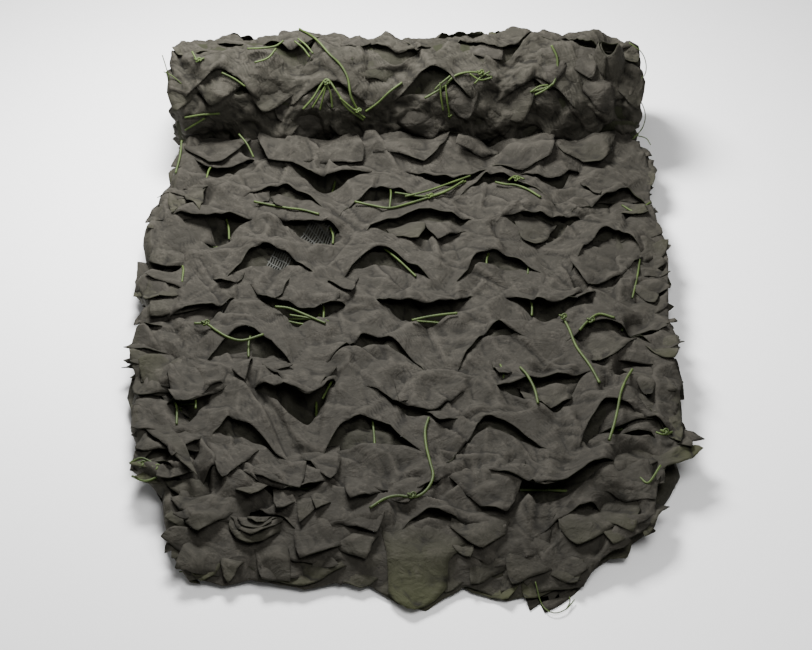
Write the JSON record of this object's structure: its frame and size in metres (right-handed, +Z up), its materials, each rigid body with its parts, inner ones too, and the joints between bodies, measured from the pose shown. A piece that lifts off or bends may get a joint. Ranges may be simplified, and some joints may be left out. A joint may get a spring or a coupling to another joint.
{
  "type": "camouflage net, folded and partly rolled",
  "caption": "Camouflage net of incised garnish cloth on a twine carrier net, folded lengthwise and partly rolled up, with its loose end laid flat in front of the roll.",
  "frame": {"origin": "centre of the net's footprint on the surface it lies on", "axes": "+Z up, +Y from the front edge of the loose end to the roll, +X along the roll to the right as seen from the front"},
  "size_m": [0.6402, 0.9702, 0.1622],
  "materials": {
    "garnish_cloth": "matte incised polyester cloth, dark brown-grey",
    "twine": "matte knotted polyester twine, yellow-green"
  },
  "bodies": {
    "root": {"loose_end": "garnish_cloth", "rolled_net": "garnish_cloth", "carrier_net": "twine", "tie_01": "twine", "tie_02": "twine", "tie_03": "twine", "tie_04": "twine", "tie_05": "twine", "tie_06": "twine", "tie_07": "twine", "tie_08": "twine", "tie_09": "twine", "tie_10": "twine", "tie_11": "twine", "tie_12": "twine", "tie_13": "twine", "tie_14": "twine", "tie_15": "twine", "tie_16": "twine"}
  },
  "joints": []
}
